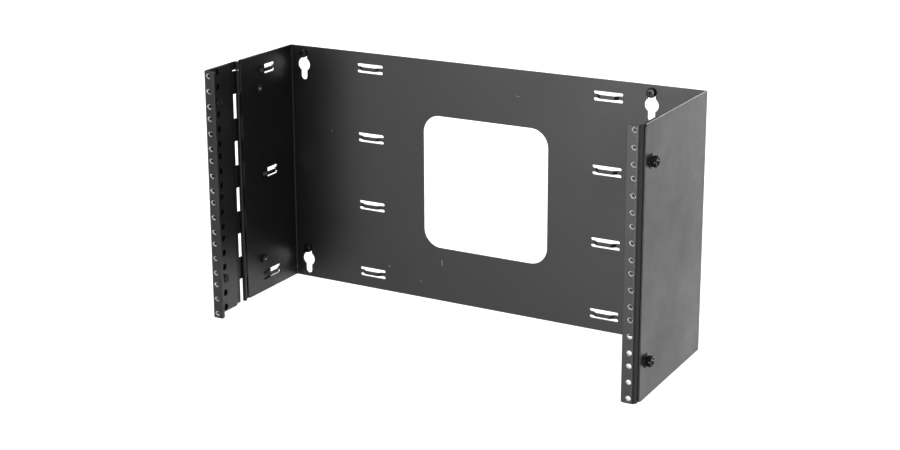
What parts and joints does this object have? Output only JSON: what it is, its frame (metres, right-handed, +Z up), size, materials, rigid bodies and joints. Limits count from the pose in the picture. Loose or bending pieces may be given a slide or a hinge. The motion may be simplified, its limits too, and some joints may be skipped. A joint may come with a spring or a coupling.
{
  "type": "hinged wall mount rack",
  "caption": "Open wall bracket for rack equipment: a folded steel sheet with a cable cut-out, keyholes and tie points, a bolted right rail and a left rail on a continuous hinge.",
  "frame": {"origin": "centre of the face that lies on the wall, in the middle of the cable cut-out", "axes": "+X to the right seen from the room, +Y into the wall, +Z up"},
  "size_m": [0.4902, 0.1587, 0.2636],
  "materials": {
    "powder_coat": "fine satin powder coat",
    "rail_coat": "satin powder coat",
    "hinge_coat": "satin black paint",
    "pin_steel": "dull steel",
    "rivet_black": "painted rivet",
    "screw_black": "black oxide"
  },
  "bodies": {
    "frame": {"bracket": "powder_coat", "right_rail": "rail_coat", "fixed_leaf": "hinge_coat", "hinge_pin": "pin_steel", "wall_rivet_upper": "rivet_black", "wall_rivet_lower": "rivet_black", "rail_screw_upper": "screw_black", "rail_screw_lower": "screw_black", "wall_screw_left_upper": "screw_black", "wall_screw_left_lower": "screw_black", "wall_screw_right_upper": "screw_black", "wall_screw_right_lower": "screw_black"},
    "swing_rail": {"moving_leaf": "hinge_coat", "left_rail": "rail_coat", "rail_rivet_upper": "rivet_black", "rail_rivet_lower": "rivet_black"}
  },
  "joints": [
    {"name": "rail_hinge", "type": "hinge", "parent": "frame", "child": "swing_rail", "pos_m": [-0.2386, -0.1016, 0], "axis": [0, 0, -1], "range_deg": [0, 110]}
  ]
}
